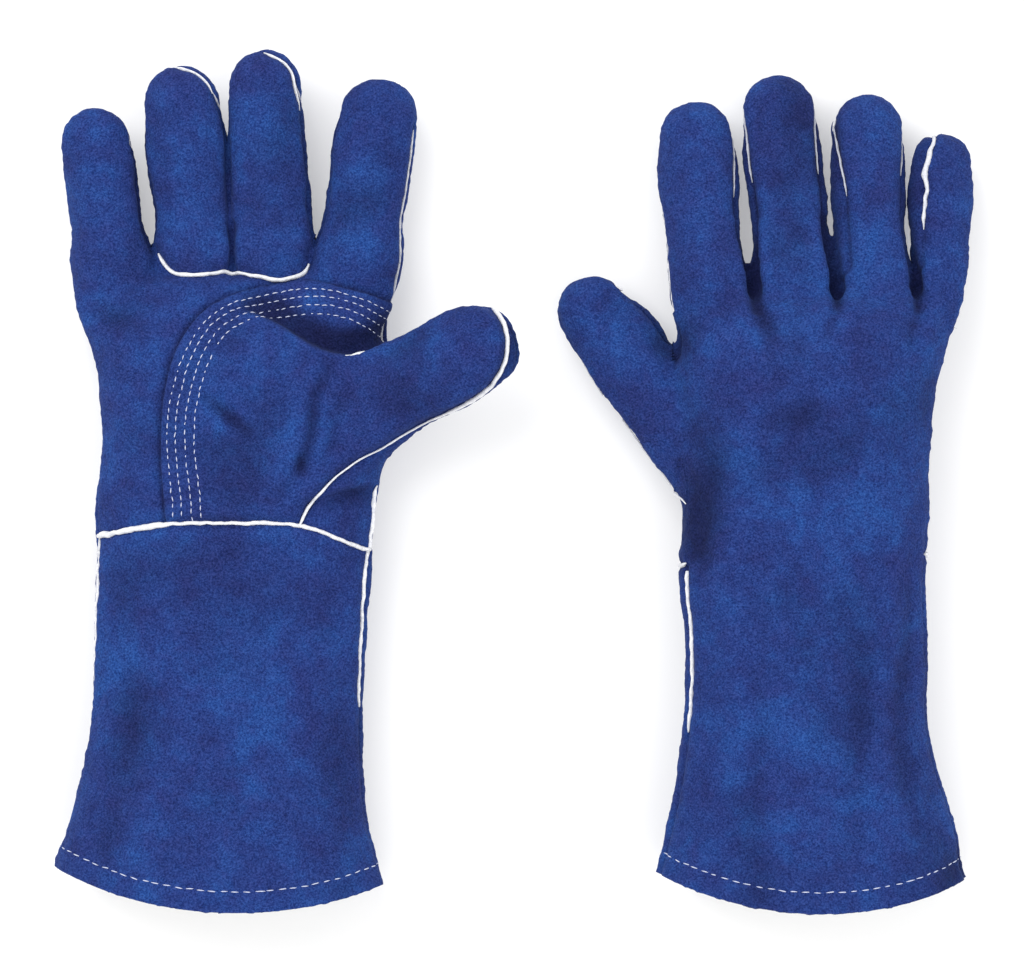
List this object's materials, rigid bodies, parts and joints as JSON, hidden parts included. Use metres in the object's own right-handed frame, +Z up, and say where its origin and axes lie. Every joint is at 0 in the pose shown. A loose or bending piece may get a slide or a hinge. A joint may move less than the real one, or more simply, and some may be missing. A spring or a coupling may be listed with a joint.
{
  "type": "welding gloves",
  "caption": "Blue split-leather welding gauntlets with wide flared cuffs, sewn finger and thumb stalls, a stitched palm patch and white welts, one lying palm up and one palm down.",
  "frame": {"origin": "middle of the pair's footprint on the surface that the gloves lie on", "axes": "+Z up from that surface; +Y towards the fingertips of both gloves; +X from the glove lying palm up to the glove lying palm down"},
  "size_m": [0.3814, 0.3558, 0.0646],
  "materials": {
    "blue_leather": "napped split leather",
    "welt_leather": "undyed grain leather strip",
    "lining_fleece": "cotton fleece"
  },
  "bodies": {
    "palmup_hand": {"palmup_palm_panel": "blue_leather", "palmup_hand_back": "blue_leather", "palmup_palm_patch": "blue_leather", "palmup_thumb_root": "blue_leather", "palmup_seam_welts": "welt_leather", "palmup_hand_lining": "lining_fleece"},
    "palmup_cuff": {"palmup_cuff_front": "blue_leather", "palmup_cuff_back": "blue_leather", "palmup_cuff_side_welts": "welt_leather", "palmup_cuff_lining": "lining_fleece"},
    "palmup_thumb": {"palmup_thumb_front": "blue_leather", "palmup_thumb_back": "blue_leather", "palmup_thumb_welt": "welt_leather", "palmup_thumb_lining": "lining_fleece"},
    "palmup_index": {"palmup_index_front": "blue_leather", "palmup_index_back": "blue_leather", "palmup_index_walls": "blue_leather", "palmup_index_lining": "lining_fleece"},
    "palmup_middle": {"palmup_middle_front": "blue_leather", "palmup_middle_back": "blue_leather", "palmup_middle_walls": "blue_leather", "palmup_middle_lining": "lining_fleece"},
    "palmup_ring": {"palmup_ring_front": "blue_leather", "palmup_ring_back": "blue_leather", "palmup_ring_walls": "blue_leather", "palmup_ring_lining": "lining_fleece"},
    "palmup_little": {"palmup_little_front": "blue_leather", "palmup_little_back": "blue_leather", "palmup_little_walls": "blue_leather", "palmup_little_lining": "lining_fleece"},
    "palmdown_hand": {"palmdown_palm_panel": "blue_leather", "palmdown_hand_back": "blue_leather", "palmdown_palm_patch": "blue_leather", "palmdown_thumb_root": "blue_leather", "palmdown_seam_welts": "welt_leather", "palmdown_hand_lining": "lining_fleece"},
    "palmdown_cuff": {"palmdown_cuff_front": "blue_leather", "palmdown_cuff_back": "blue_leather", "palmdown_cuff_side_welts": "welt_leather", "palmdown_cuff_lining": "lining_fleece"},
    "palmdown_thumb": {"palmdown_thumb_front": "blue_leather", "palmdown_thumb_back": "blue_leather", "palmdown_thumb_welt": "welt_leather", "palmdown_thumb_lining": "lining_fleece"},
    "palmdown_index": {"palmdown_index_front": "blue_leather", "palmdown_index_back": "blue_leather", "palmdown_index_walls": "blue_leather", "palmdown_index_lining": "lining_fleece"},
    "palmdown_middle": {"palmdown_middle_front": "blue_leather", "palmdown_middle_back": "blue_leather", "palmdown_middle_walls": "blue_leather", "palmdown_middle_lining": "lining_fleece"},
    "palmdown_ring": {"palmdown_ring_front": "blue_leather", "palmdown_ring_back": "blue_leather", "palmdown_ring_walls": "blue_leather", "palmdown_ring_lining": "lining_fleece"},
    "palmdown_little": {"palmdown_little_front": "blue_leather", "palmdown_little_back": "blue_leather", "palmdown_little_walls": "blue_leather", "palmdown_little_lining": "lining_fleece"}
  },
  "joints": [
    {"name": "palmup_wrist_bend", "type": "hinge", "parent": "palmup_hand", "child": "palmup_cuff", "pos_m": [-0.11751, -0.02168, 0.0482], "axis": [-1, 0, 0], "range_deg": [0, 40]},
    {"name": "palmup_index_bend", "type": "hinge", "parent": "palmup_hand", "child": "palmup_index", "pos_m": [-0.06728, 0.09632, 0.03367], "axis": [1, 0, 0], "range_deg": [0, 75]},
    {"name": "palmup_middle_bend", "type": "hinge", "parent": "palmup_hand", "child": "palmup_middle", "pos_m": [-0.1036, 0.09632, 0.03199], "axis": [1, 0, 0], "range_deg": [0, 75]},
    {"name": "palmup_ring_bend", "type": "hinge", "parent": "palmup_hand", "child": "palmup_ring", "pos_m": [-0.13458, 0.09632, 0.03155], "axis": [1, 0, 0], "range_deg": [0, 75]},
    {"name": "palmup_little_bend", "type": "hinge", "parent": "palmup_hand", "child": "palmup_little", "pos_m": [-0.169, 0.09632, 0.03268], "axis": [1, 0, 0], "range_deg": [0, 75]},
    {"name": "palmup_thumb_bend", "type": "hinge", "parent": "palmup_hand", "child": "palmup_thumb", "pos_m": [-0.05098, 0.03573, 0.05162], "axis": [0.4384, -0.8988, 0], "range_deg": [0, 50]},
    {"name": "palmdown_wrist_bend", "type": "hinge", "parent": "palmdown_hand", "child": "palmdown_cuff", "pos_m": [0.11729, -0.02998, 0.0586], "axis": [-1, 0, 0], "range_deg": [0, 40]},
    {"name": "palmdown_index_bend", "type": "hinge", "parent": "palmdown_hand", "child": "palmdown_index", "pos_m": [0.07974, 0.08802, 0.01103], "axis": [-1, 0, 0], "range_deg": [0, 75]},
    {"name": "palmdown_middle_bend", "type": "hinge", "parent": "palmdown_hand", "child": "palmdown_middle", "pos_m": [0.11421, 0.08802, 0.01128], "axis": [-1, 0, 0], "range_deg": [0, 75]},
    {"name": "palmdown_ring_bend", "type": "hinge", "parent": "palmdown_hand", "child": "palmdown_ring", "pos_m": [0.14869, 0.08802, 0.01239], "axis": [-1, 0, 0], "range_deg": [0, 75]},
    {"name": "palmdown_little_bend", "type": "hinge", "parent": "palmdown_hand", "child": "palmdown_little", "pos_m": [0.17546, 0.08802, 0.01376], "axis": [-1, 0, 0], "range_deg": [0, 75]},
    {"name": "palmdown_thumb_bend", "type": "hinge", "parent": "palmdown_hand", "child": "palmdown_thumb", "pos_m": [0.05449, 0.03932, 0.00365], "axis": [-0.7944, -0.6074, 0], "range_deg": [0, 50]},
    {"name": "palmdown_lift_off", "type": "slide", "parent": "palmup_hand", "child": "palmdown_hand", "axis": [0, 0, 1], "range_m": [0, 0.25]}
  ]
}
